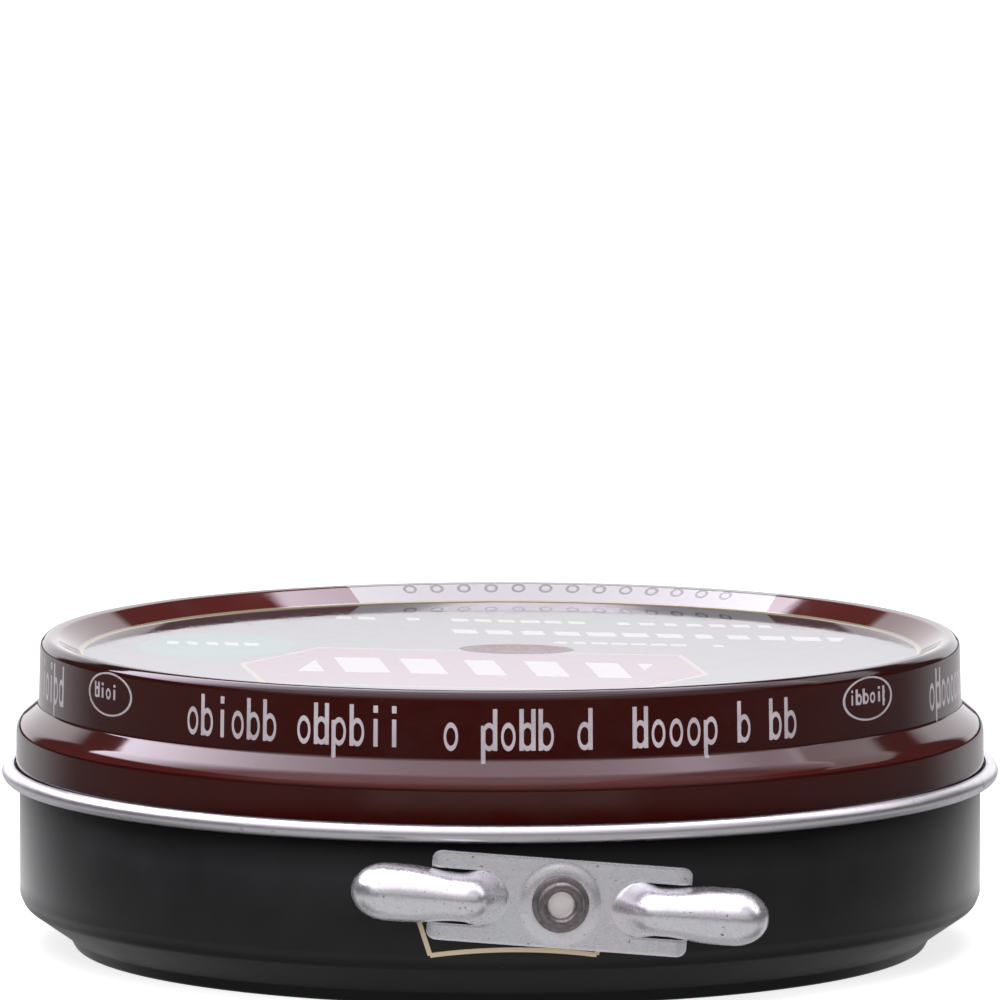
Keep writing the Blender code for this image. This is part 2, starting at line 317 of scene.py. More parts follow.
# Studio: radiances as the gloss sees them, where 1 is the white background, and lamp powers in watts
BOX_BACK = 8.5
BOX_FRONT = 1.25
BOX_SIDE = 1.4
BOX_DIMMING = 0.65
SWEEP = 1.38
ROOM = 0.06
ROOM_AHEAD = 0.36
TABLE = 0.5
TABLE_NEAR = 0.2
TABLE_AHEAD = 0.24
TABLE_BEHIND = 0.5
TABLE_UNDER = 0.36
BOX_LIGHT = (0.95, 0.87, 1.0, 1)
ROOM_LIGHT = (0.98, 0.965, 1.0, 1)
FLOOR_GLOW = 0.78
TOP_POWER = 4.4
FILL_POWER = 5.5

# Soft edges of the studio's parts, each from where it is 0 to where it is 1. Those of the box
# overhead and of the panel at its side are distances to the right or back for each unit of height.
# The others are shares of a direction: up, back, or back in its level part.
LEAST_HEIGHT = 0.02
ABOVE_EDGE = (0.0, 0.03)
BOX_SKEW = 0.317
BOX_BACK_EDGE = (0.73, 0.67)
BOX_FRONT_EDGE = (-2.2, -0.5)
BOX_SIDE_EDGES = (2.0, 1.6)
BOX_DIM_EDGE = (0.38, 0.6)
BOX_BRIGHT_EDGE = (-0.3, 0.7)
SIDE_FRONT_EDGE = (0.62, 0.74)
SIDE_BACK_EDGE = (1.05, 0.92)
SIDE_LEFT_EDGE = (0.5, 0.7)
SIDE_RIGHT_EDGE = (3.2, 2.6)
SWEEP_SIDE_EDGES = (0.80, 0.87)
SWEEP_TOP_EDGE = (0.50, 0.465)
AHEAD_EDGE = (-0.2, -0.6)
AHEAD_UP_EDGE = (0.03, 0.16)
TABLE_EDGE = (-0.02, -0.05)
TABLE_BEHIND_EDGE = (0.45, 0.85)
TABLE_AHEAD_EDGE = (-0.8, -0.9)
TABLE_LOW_EDGE = (-0.13, -0.26)
UNDER_BACK_EDGE = (0.0, 0.25)
UNDER_LOW_EDGE = (-0.35, -0.6)


# ---------------------------------------------------------------- shapes


def arc(middle, half_width, half_height, start, end, count):
    """Points along an elliptical arc, from one angle to another, both ends included."""
    points = []
    for i in range(count + 1):
        angle = radians(start + (end - start) * i / count)
        points.append((middle[0] + half_width * cos(angle), middle[1] + half_height * sin(angle)))
    return points


def direction(start, end):
    """Unit vector from one point to another."""
    length = sqrt((end[0] - start[0]) ** 2 + (end[1] - start[1]) ** 2)
    return ((end[0] - start[0]) / length, (end[1] - start[1]) / length)


def round_corner(before, corner, after, radius, count):
    """Points that round the corner of a line, tangent to both of its sides."""
    into = direction(before, corner)
    out = direction(corner, after)
    turn = atan2(into[0] * out[1] - into[1] * out[0], into[0] * out[0] + into[1] * out[1])
    side = 1 if turn > 0 else -1
    back = radius * abs(sin(turn / 2) / cos(turn / 2))
    start = (corner[0] - into[0] * back, corner[1] - into[1] * back)
    middle = (start[0] - into[1] * radius * side, start[1] + into[0] * radius * side)
    first = atan2(start[1] - middle[1], start[0] - middle[0])
    points = []
    for i in range(count + 1):
        angle = first + turn * i / count
        points.append((middle[0] + radius * cos(angle), middle[1] + radius * sin(angle)))
    return points


def moved_right(line, distance):
    """Every side of the line moved to its right by a distance."""
    moved = []
    for i, point in enumerate(line):
        into = direction(line[i - 1], point) if i else direction(point, line[1])
        out = direction(point, line[i + 1]) if i + 1 < len(line) else into
        normal = direction((0, 0), (into[1] + out[1], -into[0] - out[0]))
        shift = distance / (normal[0] * into[1] - normal[1] * into[0])
        moved.append((point[0] + normal[0] * shift, point[1] + normal[1] * shift))
    return moved


def turns_left(before, corner, after):
    """Whether a line turns to its left at a corner."""
    into = direction(before, corner)
    out = direction(corner, after)
    return into[0] * out[1] - into[1] * out[0] > 0


def sheet_line(corners, distance, count):
    """The line through (radius, height, rounding) corners, moved to its right by a distance."""
    line = [corner[:2] for corner in corners]
    moved = moved_right(line, distance)
    points = []
    for i, (_, _, rounding) in enumerate(corners):
        if not rounding:
            points.append(moved[i])
            continue
        rounding += distance if turns_left(line[i - 1], line[i], line[i + 1]) else -distance
        if rounding < LEAST_ROUNDING:
            points.append(moved[i])
        else:
            points += round_corner(moved[i - 1], moved[i], moved[i + 1], rounding, count)
    return points


def turned(name, stretches, steps=ROUND_STEPS):
    """A piece turned about Z from stretches of (material number, line of (radius, height) points).

    The stretches join end to end and run down the outer side, so that the faces point outwards.
    A point on the axis becomes one vertex.
    """
    line = []
    slots = []
    for slot, points in stretches:
        for point in points:
            if line and (abs(point[0] - line[-1][0]) + abs(point[1] - line[-1][1])) < 1e-6:
                continue
            if line:
                slots.append(slot)
            line.append(point)
    shape = bmesh.new()
    circles = []
    for radius, height in line:
        if abs(radius) < 1e-9:
            circles.append([shape.verts.new((0.0, 0.0, height * MM))] * steps)
            continue
        circle = []
        for i in range(steps):
            angle = 2 * pi * i / steps
            spot = (radius * MM * cos(angle), radius * MM * sin(angle), height * MM)
            circle.append(shape.verts.new(spot))
        circles.append(circle)
    for upper, lower, slot in zip(circles, circles[1:], slots):
        for i in range(steps):
            k = (i + 1) % steps
            corners = []
            for vertex in (upper[i], lower[i], lower[k], upper[k]):
                if vertex not in corners:
                    corners.append(vertex)
            if len(corners) > 2:
                shape.faces.new(corners).material_index = slot
    mesh = bpy.data.meshes.new(name)
    shape.to_mesh(mesh)
    shape.free()
    mesh.shade_smooth()
    mesh.set_sharp_from_angle(angle=radians(SHARP_ANGLE))
    return linked(name, mesh)


def linked(name, mesh):
    """A new object for the mesh, in the scene."""
    obj = bpy.data.objects.new(name, mesh)
    bpy.context.scene.collection.objects.link(obj)
    return obj


def even_steps(start, end, count):
    """Evenly spaced values from the start to the end."""
    return [start + (end - start) * i / count for i in range(count + 1)]


def smooth_step(value, start, end):
    """A step from 0 at the start to 1 at the end, level at both."""
    share = min(1.0, max(0.0, (value - start) / (end - start)))
    return share * share * (3 - 2 * share)


def apply_modifiers(obj):
    """Make what the modifiers show the object's own mesh."""
    graph = bpy.context.evaluated_depsgraph_get()
    obj.data = bpy.data.meshes.new_from_object(obj.evaluated_get(graph))
    obj.modifiers.clear()


def cut_round_hole(obj, radius, ends):
    """Cut a round hole about the key's axis, between two distances out from the tin's axis."""
    shape = bmesh.new()
    bmesh.ops.create_cone(
        shape,
        cap_ends=True,
        segments=HOLE_STEPS,
        radius1=radius * MM,
        radius2=radius * MM,
        depth=(ends[1] - ends[0]) * MM,
    )
    mesh = bpy.data.meshes.new("hole")
    shape.to_mesh(mesh)
    shape.free()
    cutter = linked("hole", mesh)
    cutter.location = (0.0, -(ends[0] + ends[1]) / 2 * MM, KEY_HEIGHT * MM)
    cutter.rotation_euler = (pi / 2, 0.0, 0.0)
    boolean = obj.modifiers.new("hole", "BOOLEAN")
    boolean.operation = "DIFFERENCE"
    boolean.solver = "MANIFOLD"
    boolean.object = cutter
    bpy.context.view_layer.update()
    apply_modifiers(obj)
    bpy.data.objects.remove(cutter)


# ---------------------------------------------------------------- pieces


def lid_line(inward, count):
    """The lid's outer line from the middle of its panel down to the curl, moved in by a distance."""
    corners = [
        (0.0, PANEL_TOP, 0),
        (PANEL_RADIUS, PANEL_TOP, PANEL_ROUNDING),
        (*SLOPE_TOP, CREST_ROUNDING),
        (CREST_RADIUS, LID_TOP, CREST_ROUNDING),
        (*UPPER_BAND_TOP, CREST_ROUNDING),
        (UPPER_BAND_RADIUS, UPPER_BAND_BOTTOM, STEP_ROUNDING),
        (*SHOULDER_EDGE, SHOULDER_ROUNDING),
        (LOWER_BAND_RADIUS, CURL_MIDDLE[1], 0),
    ]
    return sheet_line(corners, inward, count)


def build_lid():
    """The lid: printed outside, bare rolled edge, plain tin inside."""
    half_width = CURL_HALF_WIDTH - SHEET
    half_height = CURL_HALF_HEIGHT - SHEET
    curl_end = 360 + CURL_END_ANGLE
    outside = lid_line(0.0, OUTER_CORNER_STEPS)
    bare = arc(CURL_MIDDLE, half_width, half_height, 180, curl_end, CURL_STEPS)
    bare += arc(CURL_MIDDLE, CURL_HALF_WIDTH, CURL_HALF_HEIGHT, curl_end, 180, 2 * CURL_STEPS)
    inside = lid_line(SHEET, INNER_CORNER_STEPS)[::-1]
    lid = turned("lid_shell", [(0, outside[:-1]), (0, bare[:1]), (1, bare), (2, inside)])
    lid.data.materials.append(printed_lacquer())
    lid.data.materials.append(bare_tin("rolled_edge"))
    lid.data.materials.append(bare_tin("tin_inside"))
    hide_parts("lid")
    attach(lid, "lid")


def cup_line(inward, count):
    """The cup's outer line from the middle of its floor up to its rim, moved in by a distance."""
    corners = [
        (0.0, 0.0, 0),
        (FLOOR_RADIUS, 0.0, FLOOR_ROUNDING),
        (FOOT_RADIUS, FOOT_TOP, FOOT_ROUNDING),
        (*WALL_FOOT, WALL_FOOT_ROUNDING),
        (WALL_RADIUS, WALL_START, WALL_ROUNDING),
        (WALL_RADIUS, WALL_TOP, 0),
        (NECK_RADIUS, NECK_START, 0),
        (NECK_RADIUS, CUP_RIM, 0),
    ]
    return sheet_line(corners, -inward, count)


def build_cup():
    """The black cup: enamel outside, plain tin inside."""
    inside = cup_line(SHEET, INNER_CORNER_STEPS)
    outside = cup_line(0.0, OUTER_CORNER_STEPS)[::-1]
    cup = turned("cup_shell", [(1, inside), (1, outside[:1]), (0, outside)])
    cup.data.materials.append(black_enamel())
    cup.data.materials.append(bare_tin("cup_inside"))
    cut_round_hole(cup, RIVET_HOLE_RADIUS, RIVET_HOLE_ENDS)
    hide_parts("base_cup")
    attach(cup, "base")


def build_wax():
    """The cake of wax, cast in the cup, with a shallow dip where it shrank as it set."""
    cup_inside = cup_line(SHEET + WAX_GAP, INNER_CORNER_STEPS)
    side = [point for point in cup_inside if point[1] < WAX_TOP]
    edge = side[-1][0]
    top = []
    for radius in even_steps(0.0, edge - WAX_LIP_WIDTH, 24):
        dip = WAX_DIP * (1 - smooth_step(radius, WAX_DIP_START, edge - WAX_BRIM_WIDTH))
        top.append((radius, WAX_TOP - dip - WAX_LIP_RISE))
    top += [(edge - WAX_EDGE_ROUNDING, WAX_TOP), (edge, WAX_TOP - WAX_EDGE_ROUNDING)]
    cake = turned("wax_cake", [(0, top + side[::-1])])
    cake.data.materials.append(wax())
    cut_round_hole(cake, WAX_POCKET_RADIUS, WAX_POCKET_ENDS)
    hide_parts("wax_polish")
    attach(cake, "base")


def tip_roundness(u):
    """How far the wing's rounded tip has closed: 1 before it starts, 0 at its very end."""
    along = max(0.0, (u - WING_ROUND_START) / (WING_TIP - WING_ROUND_START))
    return sqrt(max(0.0, 1 - along * along))


def wing_half_width(u):
    """Half the wing's width inside, at a distance along the key."""
    spread = smooth_step(u, WING_SPREAD_START, WING_SPREAD_END)
    width = WING_ROOT_HALF_WIDTH + (WING_HALF_WIDTH - WING_ROOT_HALF_WIDTH) * spread
    return width * tip_roundness(u)


def boss_rise(u, w):
    """How far the round boss under the rivet stands out of the plate."""
    return BOSS_RISE * (1 - smooth_step(sqrt(u * u + w * w), BOSS_TOP_RADIUS, BOSS_RADIUS))


def plate_point(u, w):
    """Where a point of the flat plate or its tabs goes when the key is pressed.

    The tabs' outer corners are rounded by drawing the corner square of the grid in to a quarter disc.
    """
    a = (u - PLATE_HALF_LENGTH) / TAB_CORNER + 1
    b = (w - PLATE_HALF_WIDTH) / TAB_CORNER + 1
    if a > 0 and b > 0:
        u += (sqrt(1 - b * b / 2) - 1) * a * TAB_CORNER
        w += (sqrt(1 - a * a / 2) - 1) * b * TAB_CORNER
    bend = max(0.0, u - TAB_BEND_START) / (PLATE_HALF_LENGTH - TAB_BEND_START)
    return (u, w, boss_rise(u, w) - TAB_BEND_DEPTH * bend * bend)


def wing_point(u, w):
    """Where a point of the strip between the slits goes: it swells into a half-round wing."""
    root = WING_RISE_START + WING_ROOT_ROUNDING * (w / SLIT_INNER) ** 2
    rise = smooth_step(u, root, WING_RISE_END)
    curl = smooth_step(u, SLIT_START, SLIT_START + WING_CURL_LENGTH)
    angle = w / SLIT_INNER * pi / 2
    across = w + curl * (sin(angle) * wing_half_width(u) - w)
    out = boss_rise(u, w) + curl * WING_EDGE_LIFT
    return (u, across, out + rise * WING_RISE * cos(angle) * tip_roundness(u))


def add_sheet(shape, columns, rows, place):
    """A grid of faces, each corner put where place(u, w) says."""
    grid = []
    for u in columns:
        grid.append([shape.verts.new([value * MM for value in place(u, w)]) for w in rows])
    for left, right in zip(grid, grid[1:]):
        for i in range(len(rows) - 1):
            shape.faces.new([left[i], right[i], right[i + 1], left[i + 1]])


def build_key():
    """The pressed key: a quarter of its back face, mirrored twice and given its thickness."""
    middle = even_steps(0.0, WING_RISE_START, 18) + even_steps(WING_RISE_START, SLIT_START, 9)[1:]
    tabs = even_steps(SLIT_START, PLATE_HALF_LENGTH, 20)
    wing = tabs + even_steps(PLATE_HALF_LENGTH, WING_ROUND_START, 10)[1:]
    for angle in even_steps(0.0, pi / 2, 14)[1:]:
        wing.append(WING_ROUND_START + (WING_TIP - WING_ROUND_START) * sin(angle))
    wing_rows = even_steps(0.0, SLIT_INNER, 14)
    tab_rows = even_steps(SLIT_OUTER, PLATE_HALF_WIDTH, 6)
    shape = bmesh.new()
    add_sheet(shape, middle, wing_rows, wing_point)
    add_sheet(shape, middle, [SLIT_INNER] + tab_rows, plate_point)
    add_sheet(shape, tabs, tab_rows, plate_point)
    add_sheet(shape, wing, wing_rows, wing_point)
    bmesh.ops.remove_doubles(shape, verts=shape.verts, dist=0.001 * MM)
    mesh = bpy.data.meshes.new("key_shell")
    shape.to_mesh(mesh)
    shape.free()
    mesh.shade_smooth()
    key = linked("key_shell", mesh)
    mirror = key.modifiers.new("both ends, both edges", "MIRROR")
    mirror.use_axis = (True, True, False)
    mirror.merge_threshold = 0.001 * MM
    thickness = key.modifiers.new("sheet", "SOLIDIFY")
    thickness.thickness = KEY_SHEET * MM
    thickness.offset = 1.0
    edges = key.modifiers.new("worn edges", "BEVEL")
    edges.width = KEY_EDGE_WEAR * MM
    edges.segments = 2
    edges.limit_method = "ANGLE"
    edges.angle_limit = radians(KEY_EDGE_ANGLE)
    key.location = (0.0, -KEY_BACK * MM, KEY_HEIGHT * MM)
    key.rotation_euler = (pi / 2, radians(KEY_TILT), 0.0)
    bpy.context.view_layer.update()
    apply_modifiers(key)
    cut_round_hole(key, RIVET_HOLE_RADIUS, RIVET_HOLE_ENDS)
    key.data.materials.clear()
    key.data.materials.append(zinc_plate())
    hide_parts("opener_key")
    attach(key, "opener")


def build_rivet():
    """The tubular rivet with its rolled ring, flange and inner head."""
    ring_middle = (RING_RADIUS - RING_TUBE, RING_MIDDLE)
    line = [
        (0.0, RIVET_BORE_FLOOR),
        (RIVET_BORE_RADIUS - RIVET_BORE_ROUNDING, RIVET_BORE_FLOOR),
        (RIVET_BORE_RADIUS, RIVET_BORE_FLOOR + RIVET_BORE_ROUNDING),
    ]
    line += arc(ring_middle, RING_TUBE, RING_TUBE, 180, 0, CURL_STEPS)
    line += [
        (RING_RADIUS, FLANGE_FRONT + RING_FOOT),
        (FLANGE_RADIUS - FLANGE_EDGE_WIDTH, FLANGE_FRONT),
        (FLANGE_RADIUS, FLANGE_FRONT - FLANGE_EDGE_DROP),
        (FLANGE_RADIUS, FLANGE_BACK),
        (RIVET_SHANK_RADIUS, FLANGE_BACK),
        (RIVET_SHANK_RADIUS, INNER_HEAD_END),
        (INNER_HEAD_RADIUS, INNER_HEAD_END),
        (INNER_HEAD_RADIUS - INNER_HEAD_TAPER, INNER_HEAD_START),
        (0.0, INNER_HEAD_START),
    ]
    rivet = turned("rivet_shell", [(0, line)], RIVET_STEPS)
    rivet.location = (0.0, 0.0, KEY_HEIGHT * MM)
    rivet.rotation_euler = (pi / 2, 0.0, 0.0)
    rivet.data.materials.append(rivet_steel())
    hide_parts("opener_rivet")
    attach(rivet, "base")


# ---------------------------------------------------------------- materials


class Graph:
    """A material's nodes, built with short calls. Lengths in it are millimetres."""

    def __init__(self, name):
        self.material = bpy.data.materials.new(name)
        self.material.use_nodes = True
        self.tree = self.material.node_tree
        self.shader = self.tree.nodes["Principled BSDF"]
        self.vector = None
        self.coordinates = None

    def node(self, kind, values=None, **settings):
        """A new node, with its settings and the values of its inputs."""
        made = self.tree.nodes.new(kind)
        for key, value in settings.items():
            setattr(made, key, value)
        for key, value in (values or {}).items():
            self.feed(made.inputs[key], value)
        return made

    def feed(self, socket, value):
        """Link a socket's value, or set it."""
        if isinstance(value, bpy.types.NodeSocket):
            self.tree.links.new(value, socket)
        else:
            socket.default_value = value

    def math(self, operation, a, b=0.0):
        """One sum on one or two numbers."""
        made = self.node("ShaderNodeMath", {0: a, 1: b}, operation=operation)
        return made.outputs[0]

    def place(self):
        """The point in the object's own frame, in millimetres, as x, y and z."""
        if self.coordinates is None:
            spot = self.node("ShaderNodeTexCoord").outputs["Object"]
            scaled = self.node("ShaderNodeVectorMath", {0: spot, "Scale": 1 / MM}, operation="SCALE")
            self.vector = scaled.outputs[0]
            parts = self.node("ShaderNodeSeparateXYZ", {0: self.vector})
            self.coordinates = tuple(parts.outputs[i] for i in range(3))
        return self.coordinates

    def noise(self, scale, detail=3.0, roughness=0.55, stretch=None):
        """Noise from 0 to 1, with its scale in cycles for each millimetre."""
        self.place()
        vector = self.vector
        if stretch:
            mapped = self.node("ShaderNodeVectorMath", {0: vector, 1: stretch}, operation="MULTIPLY")
            vector = mapped.outputs[0]
        values = {"Vector": vector, "Scale": scale, "Detail": detail, "Roughness": roughness}
        return self.node("ShaderNodeTexNoise", values).outputs["Fac"]

    def ramp(self, value, low, high, start=0.0, end=1.0):
        """The value's place between low and high, mapped to start and end, and kept between them."""
        values = {"Value": value, "From Min": low, "From Max": high, "To Min": start, "To Max": end}
        return self.node("ShaderNodeMapRange", values).outputs[0]

    def inside(self, value, middle, half):
        """1 where the value is within half of the middle, else 0."""
        away = self.math("ABSOLUTE", self.math("SUBTRACT", value, middle))
        return self.math("LESS_THAN", away, half)

    def between(self, value, low, high):
        """1 where the value lies between low and high, else 0."""
        above = self.math("GREATER_THAN", value, low)
        return self.math("MULTIPLY", above, self.math("LESS_THAN", value, high))

    def all_of(self, *masks):
        """Where every mask is 1."""
        found = masks[0]
        for mask in masks[1:]:
            found = self.math("MULTIPLY", found, mask)
        return found

    def any_of(self, *masks):
        """Where any mask is 1."""
        found = masks[0]
        for mask in masks[1:]:
            found = self.math("MAXIMUM", found, mask)
        return found

    def mix(self, share, a, b):
        """A colour between a and b."""
        made = self.node("ShaderNodeMix", data_type="RGBA")
        for index, value in ((0, share), (6, a), (7, b)):
            self.feed(made.inputs[index], value)
        return made.outputs[2]

    def bump(self, height, distance, strength):
        """A bump, as high as the distance in millimetres where the height is 1."""
        values = {"Height": height, "Distance": distance * MM, "Strength": strength}
        return self.node("ShaderNodeBump", values).outputs[0]

    def finish(self, **inputs):
        """Set the shader's inputs and return the material."""
        for name, value in inputs.items():
            self.feed(self.shader.inputs[name.replace("_", " ")], value)
        return self.material


def radius_of(g, x, y):
    """Distance of a flat point from 0, 0."""
    return g.math("SQRT", g.math("ADD", g.math("MULTIPLY", x, x), g.math("MULTIPLY", y, y)))


def angle_in_front(g, x, y):
    """Angle round the tin in degrees, 0 at its front and growing towards +X."""
    return g.math("DEGREES", g.math("ARCTAN2", x, g.math("MULTIPLY", y, -1.0)))


def ellipse_value(g, u, v, middle, half):
    """Below 1 inside an ellipse, 1 on its edge."""
    a = g.math("DIVIDE", g.math("SUBTRACT", u, middle[0]), half[0])
    b = g.math("DIVIDE", g.math("SUBTRACT", v, middle[1]), half[1])
    return radius_of(g, a, b)


def ring(g, u, v, middle, half, width):
    """The line of an ellipse, as wide as a share of the ellipse's size."""
    return g.inside(ellipse_value(g, u, v, middle, half), 1 - width / 2, width / 2)


def cell_chances(g, along, pitch, seed):
    """The place within a cell of a row, from -0.5 to 0.5, and four random numbers for the cell."""
    cell = g.math("FLOOR", g.math("DIVIDE", along, pitch))
    within = g.math("SUBTRACT", g.math("SUBTRACT", g.math("DIVIDE", along, pitch), cell), 0.5)
    spot = g.node("ShaderNodeCombineXYZ", {0: cell, 1: seed}).outputs[0]
    chance = g.node("ShaderNodeTexWhiteNoise", {"Vector": spot}, noise_dimensions="3D")
    parts = g.node("ShaderNodeSeparateXYZ", {0: chance.outputs["Color"]}).outputs
    return within, (chance.outputs["Value"], parts[0], parts[1], parts[2])


def glyph_row(g, along, up, run, size, seed):
    """A row of plain marks: rings and upright strokes by chance, with gaps, and no letters meant.

    along and up are in any units. size is the marks' pitch and height in them, and the half width
    of a stroke as a share of the pitch. A ring's numbers are shares of the pitch and the height.
    """
    pitch, height, weight = size
    within, (kind, left, right, drop) = cell_chances(g, along, pitch, seed)
    level = g.math("DIVIDE", up, height)
    bowl = ellipse_value(g, within, level, *MARK_RING)
    bowl = g.inside(bowl, MARK_RING_INSIDE, MARK_RING_WEIGHT * weight)
    short = g.between(level, 0.0, 1.0)
    tall = g.between(level, 0.0, MARK_TALL)
    deep = g.between(level, MARK_DEEP, MARK_DEEP_TOP)
    at_left = g.inside(within, -MARK_STEM, weight)
    at_right = g.inside(within, MARK_STEM, weight)
    left_stem = g.all_of(at_left, tall, g.math("GREATER_THAN", left, LEFT_STEM_ABOVE))
    right_stem = g.all_of(at_right, tall, g.math("GREATER_THAN", right, RIGHT_STEM_ABOVE))
    deep_stem = g.all_of(at_left, deep, g.math("GREATER_THAN", drop, DEEP_STEM_ABOVE))
    round_mark = g.any_of(bowl, left_stem, right_stem, deep_stem)
    stroke = g.all_of(g.inside(within, 0.0, weight), short)
    at_dot = g.inside(level, MARK_DOT_HEIGHT, MARK_DOT_HALF)
    dot = g.all_of(g.inside(within, 0.0, weight * MARK_DOT_WEIGHT), at_dot)
    thin_mark = g.any_of(stroke, dot)
    is_round = g.math("GREATER_THAN", kind, ROUND_MARK_ABOVE)
    is_thin = g.between(kind, THIN_MARK_ABOVE, ROUND_MARK_ABOVE)
    marks = g.any_of(g.all_of(round_mark, is_round), g.all_of(thin_mark, is_thin))
    return g.all_of(marks, g.inside(along, (run[0] + run[1]) / 2, (run[1] - run[0]) / 2))


def bar_row(g, along, across, row):
    """A row of plain slanted bars of uneven length, with a gap now and then."""
    middle, half_height, pitch, run, seed = row
    slanted = g.math("ADD", along, g.math("MULTIPLY", across, BAR_SLANT))
    within, (kept, length, _, _) = cell_chances(g, slanted, pitch, seed)
    half_long = g.ramp(length, 0, 1, BAR_LEAST_HALF, BAR_MOST_HALF)
    mark = g.math("LESS_THAN", g.math("ABSOLUTE", within), half_long)
    kept = g.math("GREATER_THAN", kept, BAR_GAP_CHANCE)
    inside = g.inside(along, (run[0] + run[1]) / 2, (run[1] - run[0]) / 2)
    return g.all_of(mark, g.inside(across, middle, half_height), kept, inside)


def panel_axes(g, x, y):
    """The print's own axes on the panel: u along its rows, v towards the back."""
    turn = radians(ART_TURN)
    u = g.math("SUBTRACT", g.math("MULTIPLY", x, cos(turn)), g.math("MULTIPLY", y, sin(turn)))
    v = g.math("ADD", g.math("MULTIPLY", x, sin(turn)), g.math("MULTIPLY", y, cos(turn)))
    return u, v


def panel_art(g, u, v):
    """The generic print on the lid's panel: its colour at a point."""
    reach = g.math("ABSOLUTE", g.math("SUBTRACT", v, FIELD_MIDDLE))
    wide = g.math("SUBTRACT", FIELD_HALF_WIDTH, g.math("MULTIPLY", reach, FIELD_NARROWING))
    side = g.math("SUBTRACT", wide, g.math("ABSOLUTE", u))
    inset = g.math("MINIMUM", side, g.math("SUBTRACT", FIELD_HALF_HEIGHT, reach))
    colour = g.mix(g.math("GREATER_THAN", inset, -FIELD_OUTLINE), DARK_FIELD, PRINT_GOLD)
    colour = g.mix(g.math("GREATER_THAN", inset, 0.0), colour, RED_FIELD)
    colour = g.mix(bar_row(g, u, v, FIELD_ROW), colour, PRINT_WHITE)
    rows = [bar_row(g, u, v, row) for row in PANEL_ROWS]
    colour = g.mix(g.any_of(*rows), colour, PRINT_WHITE)
    colour = g.mix(oval_mask(g, u, v, PANEL_OVAL), colour, PRINT_BROWN)
    colour = g.mix(oval_mask(g, u, v, PANEL_DISC), colour, PRINT_GREEN)
    return g.mix(bar_row(g, u, v, DISC_ROW), colour, PRINT_WHITE)


def oval_mask(g, u, v, oval):
    """1 inside a plain oval, given by its middle and half sizes."""
    return g.math("LESS_THAN", ellipse_value(g, u, v, *oval), 1.0)


def slope_art(g, angle_behind, radius):
    """The maroon slope round the panel, with a white patch that carries a row of grey marks."""
    lean = g.math("MULTIPLY", g.math("SUBTRACT", radius, PATCH_RADIUS), PATCH_LEAN)
    patch = g.inside(g.math("ADD", angle_behind, lean), PATCH_MIDDLE, PATCH_HALF_ANGLE)
    colour = g.mix(patch, SLOPE_MAROON, PATCH_WHITE)
    within, _ = cell_chances(g, angle_behind, TICK_PITCH, TICK_SEED)
    ticks = ring(g, within, radius, (0.0, TICK_RADIUS), TICK_HALF_SIZE, TICK_WIDTH)
    ticks = g.all_of(ticks, g.inside(angle_behind, PATCH_MIDDLE, TICK_HALF_ANGLE))
    return g.mix(ticks, colour, PRINT_INK)


def band_art(g, angle, z):
    """The maroon side of the lid, with plain pale marks and oval badges on its upper band.

    The maroon is painted lighter and redder on the shoulder: a painted highlight.
    """
    marks = []
    for run, base, seed in BAND_ROWS:
        up = g.math("SUBTRACT", z, base)
        size = (BAND_PITCH, BAND_MARK_HEIGHT, BAND_MARK_WEIGHT)
        marks.append(glyph_row(g, angle, up, run, size, seed))
    for middle in BADGE_MIDDLES:
        marks.append(ring(g, angle, z, (middle, BADGE_HEIGHT), BADGE_HALF_SIZE, BADGE_LINE))
        up = g.math("SUBTRACT", z, BADGE_ROW_BASE)
        run = (middle - BADGE_ROW_HALF, middle + BADGE_ROW_HALF)
        size = (BADGE_PITCH, BADGE_MARK_HEIGHT, BADGE_MARK_WEIGHT)
        marks.append(glyph_row(g, angle, up, run, size, BADGE_SEED + middle))
    # The shoulder's lighter maroon is a painted highlight
    on_shoulder = g.inside(z, SHOULDER_MIDDLE, SHOULDER_HALF_HEIGHT)
    lacquer = g.mix(on_shoulder, MAROON, SHOULDER_HIGHLIGHT_MAROON)
    return g.mix(g.any_of(*marks), lacquer, BAND_PRINT)


def printed_lacquer():
    """Gloss lacquer over print: panel, slope and bands, with orange peel, dust and fine scratches."""
    g = Graph("printed_lacquer")
    x, y, z = g.place()
    radius = radius_of(g, x, y)
    angle = angle_in_front(g, x, y)
    angle_behind = g.math("DEGREES", g.math("ARCTAN2", x, y))
    u, v = panel_axes(g, x, y)
    on_slope = g.math("LESS_THAN", radius, CREST_RADIUS - 0.35)
    on_ring = g.math("LESS_THAN", radius, PANEL_RADIUS + 0.2)
    on_panel = g.math("LESS_THAN", radius, PANEL_RADIUS - 0.15)
    colour = band_art(g, angle, z)
    grime = g.noise(0.35, 4.0)
    colour = g.mix(g.ramp(grime, 0.35, 0.75, 0.0, 0.3), colour, MAROON_WORN)
    colour = g.mix(on_slope, colour, slope_art(g, angle_behind, radius))
    colour = g.mix(on_ring, colour, PRINT_GOLD)
    colour = g.mix(on_panel, colour, panel_art(g, u, v))
    dust = g.ramp(g.noise(4.5, 2.0, 0.7), 0.76, 0.8, 0.0, 0.35)
    colour = g.mix(dust, colour, LID_DUST)
    peel = g.noise(0.55, 2.0)
    scratch = g.noise(3.0, 2.0, 0.5, (1.0, 1.0, 14.0))
    rough = g.ramp(g.math("MULTIPLY", grime, scratch), 0.15, 0.4, 0.03, 0.11)
    dull_oval = g.all_of(on_panel, oval_mask(g, u, v, PANEL_OVAL))
    return g.finish(
        Base_Color=colour,
        Roughness=g.math("ADD", rough, g.math("MULTIPLY", dull_oval, 0.22)),
        Normal=g.bump(peel, 0.012, 0.3),
        IOR=1.5,
    )


